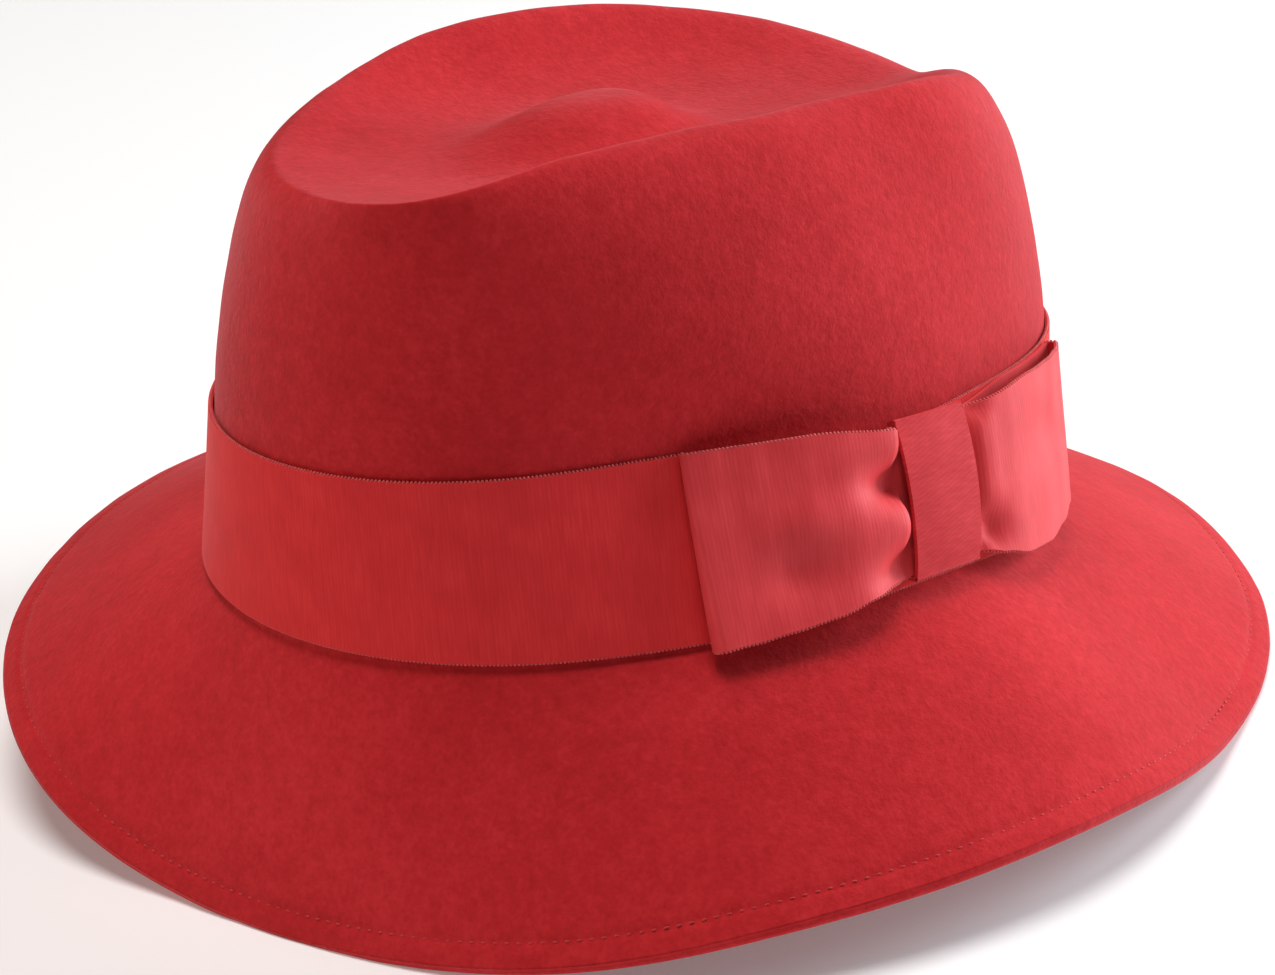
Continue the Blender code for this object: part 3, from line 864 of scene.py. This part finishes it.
def inner_rings(outer, normals, places, widths, crest):
    """Rings of the inner face, deeper where the felt is turned under."""
    fine = list(range(1, FINE_INNER_RINGS))
    coarse = [i for i in range(FINE_INNER_RINGS, outer.shape[0], INNER_RING_STEP)
              if abs(i - crest) > RINGS_CLEAR_OF_CREST]
    rings = []
    for i in fine + coarse:
        depth = np.full(outer.shape[1], FELT_THICKNESS)
        if i < len(places):
            inset = (1.0 - places[i]) * widths
            past = STITCH_FROM_EDGE + TURNED_PAST_STITCHES - inset
            turned = np.clip(past / TURNED_EDGE_STEP, 0.0, 1.0)
            depth += (TURNED_EDGE_THICKNESS - FELT_THICKNESS) * turned
        rings.append(outer[i] - normals[i] * depth[:, None])
    return rings


def shell_mesh(rings):
    """Corners and faces of a closed shell through rings, with a fan of faces over each end."""
    height = len(rings)
    width = len(rings[0])
    verts = [Vector(p) for ring in rings for p in ring]
    faces = []
    for i in range(height - 1):
        for j in range(width):
            k = (j + 1) % width
            faces.append((i * width + j, i * width + k, (i + 1) * width + k, (i + 1) * width + j))
    for start, flip in ((0, True), ((height - 1) * width, False)):
        middle = len(verts)
        verts.append(sum(verts[start:start + width], Vector()) / width)
        for j in range(width):
            k = (j + 1) % width
            pair = (start + k, start + j) if flip else (start + j, start + k)
            faces.append((*pair, middle))
    return verts, faces


def felt_piece(material):
    """Crown and brim, one shell of felt. Nothing of it goes below the floor."""
    outer, places, widths, crest = felt_rings()
    smooth_crest(outer, crest)
    normals = ring_normals(outer)
    outer = uneven(outer, normals)
    press_groove(outer, normals, places, widths)
    edge = edge_rings(outer, normals)
    inner = inner_rings(outer, normals, places, widths, crest)
    rings = np.concatenate([outer[::-1], np.array(edge), np.array(inner)])
    matrix = np.array(PLACE)
    rings = rings @ matrix[:3, :3].T + matrix[:3, 3]
    rings[..., 2] = np.maximum(rings[..., 2], 0.0)
    piece = mesh_piece("felt_hat", *shell_mesh(rings), material, "felt")
    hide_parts("felt_body")


def stitches(material):
    """Short stitches in a ring just inside the brim's edge."""
    verts = []
    faces = []
    angle = 0.0
    while angle < 2.0 * math.pi - LAST_STITCH_GAP:
        width = around(BRIM, math.degrees(angle), 2)
        place = 1.0 - STITCH_FROM_EDGE / width
        point = brim_point(angle, place)
        ahead = brim_point(angle + STITCH_TURN_STEP, place) - point
        inward = brim_point(angle, place - STITCH_PLACE_STEP) - point
        normal = ahead.cross(inward).normalized()
        direction = ahead.normalized()
        side = normal.cross(direction)
        centre = point - normal * STITCH_GROOVE
        faces += tube_faces(len(verts), len(STITCH_RINGS))
        for step, size in STITCH_RINGS:
            middle = centre + direction * (step * STITCH_HALF_LENGTH)
            for corner in tube_ring(middle, side, normal, STITCH_RADIUS * size):
                corner.z = max(corner.z, STITCH_LOWEST)
                verts.append(corner)
        angle += STITCH_PITCH / (ahead.length / STITCH_TURN_STEP)
    mesh_piece("brim_stitches", verts, faces, material, "felt")


# Ribbon
def sheet_piece(name, grid, uvs, closed, material):
    """A ribbon with two faces and thin sides round a grid of middle points, columns by rows."""
    middle = point_array(grid)
    count = middle.shape[0]
    if closed:
        across = np.roll(middle, -1, axis=0) - np.roll(middle, 1, axis=0)
    else:
        across = np.gradient(middle, axis=0)
    normal = np.cross(across, np.gradient(middle, axis=1))
    normal /= np.linalg.norm(normal, axis=2, keepdims=True)
    front = middle + normal * (0.5 * RIBBON_THICKNESS)
    back = middle - normal * (0.5 * RIBBON_THICKNESS)
    columns = np.concatenate([front, back[:, ::-1]], axis=1)
    width = columns.shape[1]
    verts = [PLACE @ Vector(p) for column in columns for p in column]
    faces = []
    for i in range(count if closed else count - 1):
        k = (i + 1) % count
        for j in range(width):
            m = (j + 1) % width
            faces.append((i * width + j, k * width + j, k * width + m, i * width + m))
    if not closed:
        for base, flip in ((0, False), ((count - 1) * width, True)):
            for j in range(width // 2 - 1):
                quad = (base + j, base + j + 1, base + width - 2 - j, base + width - 1 - j)
                faces.append(quad[::-1] if flip else quad)
    piece = mesh_piece(name, verts, faces, material, "ribbon")
    piece.data.set_sharp_from_angle(angle=math.radians(SHARP_BEND_DEG))
    place_uvs(piece.data, uvs, width, closed)
    return piece


def place_uvs(data, uvs, width, closed):
    """Writes a ribbon's coordinates, which run on where a closed ribbon meets its start."""
    count = len(uvs)
    flat = [uv for column in uvs for uv in list(column) + list(column)[::-1]]
    seam = flat[0][0] + count * (flat[width][0] - flat[0][0])
    layer = data.uv_layers.new(name="ribbon")
    for poly in data.polygons:
        columns = [data.loops[q].vertex_index // width for q in poly.loop_indices]
        wraps = closed and max(columns) == count - 1 and min(columns) == 0
        for q, column in zip(poly.loop_indices, columns):
            u, v = flat[data.loops[q].vertex_index]
            if wraps and column == 0:
                u = seam
            layer.data[q].uv = (u, v)


def ribbon_uvs(grid, width):
    """Distances along the middle of a ribbon and up its width, for each point of its grid."""
    rows = len(grid[0]) - 1
    uvs = []
    run = 0.0
    previous = grid[0][rows // 2]
    for column in grid:
        run += (column[rows // 2] - previous).length
        previous = column[rows // 2]
        uvs.append([(run, width * share) for share in spread(0.0, 1.0, rows)])
    return uvs


def edge_line(grid, j, closed):
    """Points and normals along one edge of a grid of columns, whose row is 0 or -1."""
    columns = len(grid)
    line = []
    beside = 1 if j == 0 else -2
    for i in range(columns + (1 if closed else 0)):
        p = grid[i % columns][j]
        ahead = grid[(i + 1) % columns][j] if closed or i < columns - 1 else p
        behind = grid[i - 1][j] if closed or i > 0 else p
        upward = grid[i % columns][beside] - p
        if j != 0:
            upward = -upward
        line.append((p, (ahead - behind).cross(upward).normalized()))
    return line


def edge_loops(name, grid, closed, material):
    """Small woven loops along both edges of a ribbon."""
    verts = []
    faces = []
    for points in (edge_line(grid, 0, closed), edge_line(grid, -1, closed)):
        carried = 0.0
        for (p, n), (q, m) in zip(points, points[1:]):
            span = (q - p).length
            while carried < span:
                share = carried / span
                centre = p.lerp(q, share)
                direction = (q - p).normalized()
                normal = n.lerp(m, share).normalized()
                side = direction.cross(normal).normalized()
                faces += tube_faces(len(verts), len(LOOP_TURNS_DEG))
                for turn in LOOP_TURNS_DEG:
                    radius = math.cos(math.radians(turn)) * LOOP_RADIUS
                    rise = math.sin(math.radians(turn)) * LOOP_RADIUS * LOOP_STRETCH
                    verts += tube_ring(centre + side * rise, direction, normal, radius)
                carried += LOOP_PITCH
            carried -= span
    return mesh_piece(name, verts, faces, material, "ribbon")


def band_piece(material, thread):
    """The band round the crown's foot."""
    angles = [2.0 * math.pi * j / BAND_COLUMNS for j in range(BAND_COLUMNS)]
    grid = [band_column(a, BAND_ROWS) for a in angles]
    piece = sheet_piece("band_ribbon", grid, ribbon_uvs(grid, BAND_HEIGHT), True, material)
    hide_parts("ribbon_band")
    loops = edge_loops("band_edge_loops", grid, True, thread)


def wing_piece(name, node, shape, folds, length, lean, side, material, thread):
    """One loop of the bow. Its woven edge shows from the fold on."""
    places = spread(0.0, KNOT_END, WING_UNDER_KNOT_STEPS)[:-1]
    places += spread(KNOT_END, WING_LAST_PLACE, WING_STEPS)
    bends = spread(0.0, 1.0, WING_FOLD_STEPS)
    grid = wing_grid(shape, folds, length, lean, side, places, bends, WING_ROWS)
    piece = sheet_piece(name, grid, ribbon_uvs(grid, WING_TEXTURE_WIDTH), False, material)
    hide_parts(node)
    loops = edge_loops(name + "_edge_loops", grid[len(places):], False, thread)


def knot_profile():
    """Heights and distances off the felt up the knot, tucked in at both of its edges."""
    tucked = []
    for k in range(KNOT_EDGE_STEPS):
        left = 1.0 - math.sin(math.radians(90.0 * k / KNOT_EDGE_STEPS))
        out = KNOT_LAYER - (KNOT_LAYER - LOWER_LAYER) * left * KNOT_EDGE_DEPTH
        tucked.append((KNOT_ROUNDING * left * KNOT_EDGE_TUCK, out))
    face = []
    face_height = KNOT_TOP - KNOT_BOTTOM - 2.0 * KNOT_ROUNDING
    for share in spread(0.0, 1.0, KNOT_FACE_STEPS):
        out = KNOT_LAYER + KNOT_CROWN * math.sin(math.pi * share) ** KNOT_FULLNESS
        face.append((KNOT_BOTTOM + KNOT_ROUNDING + face_height * share, out))
    bottom = [(KNOT_BOTTOM + inset, out) for inset, out in tucked]
    top = [(KNOT_TOP - inset, out) for inset, out in tucked[::-1]]
    return bottom + face + top


def knot_piece(material):
    """The strip over the middle of the bow."""
    profile = knot_profile()
    grid = []
    uvs = []
    for distance in spread(-0.5 * KNOT_WIDTH, 0.5 * KNOT_WIDTH, KNOT_COLUMNS):
        line = [band_point(distance, height, out) for height, out in profile]
        run = 0.0
        uv = [(distance, run)]
        for p, q in zip(line, line[1:]):
            run += (q - p).length
            uv.append((distance, run))
        grid.append(line)
        uvs.append(uv)
    piece = sheet_piece("bow_knot_ribbon", grid, uvs, False, material)
    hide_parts("bow_knot")


add_camera()
add_floor()
felt_piece(felt_material())
stitches(thread_material("brim_thread", BRIM_THREAD_COLOURS, BRIM_THREAD_FINISH))
# The edge loops' lighter colours are a painted highlight
edge_thread = thread_material("painted_highlight_edge_thread", EDGE_THREAD_PAINTED_HIGHLIGHT_COLOURS, EDGE_THREAD_FINISH)
band_piece(ribbon_material("red_band_grosgrain", GROSGRAIN_RIBS, BAND_COLOURS, BAND_FINISH), edge_thread)
# The wings' colours hold painted light and painted highlight
bow_grosgrain = ribbon_material("red_bow_painted_light_grosgrain", GROSGRAIN_RIBS, BOW_PAINTED_LIGHT_COLOURS, BOW_FINISH)
wing_piece("bow_front_ribbon", "bow_front_wing", FRONT_WING, FRONT_FOLDS, FRONT_WING_LENGTH,
           FRONT_WING_LEAN, -1.0, bow_grosgrain, edge_thread)
wing_piece("bow_back_ribbon", "bow_back_wing", BACK_WING, BACK_FOLDS, BACK_WING_LENGTH,
           BACK_WING_LEAN, 1.0, bow_grosgrain, edge_thread)
# The knot's colours hold painted shade
knot_piece(ribbon_material("red_bow_painted_shade_twill", TWILL_RIBS, KNOT_PAINTED_SHADE_COLOURS, BAND_FINISH))

for light in LIGHTS:
    add_light(*light)
add_world()
bpy.context.scene.view_settings.view_transform = "Standard"
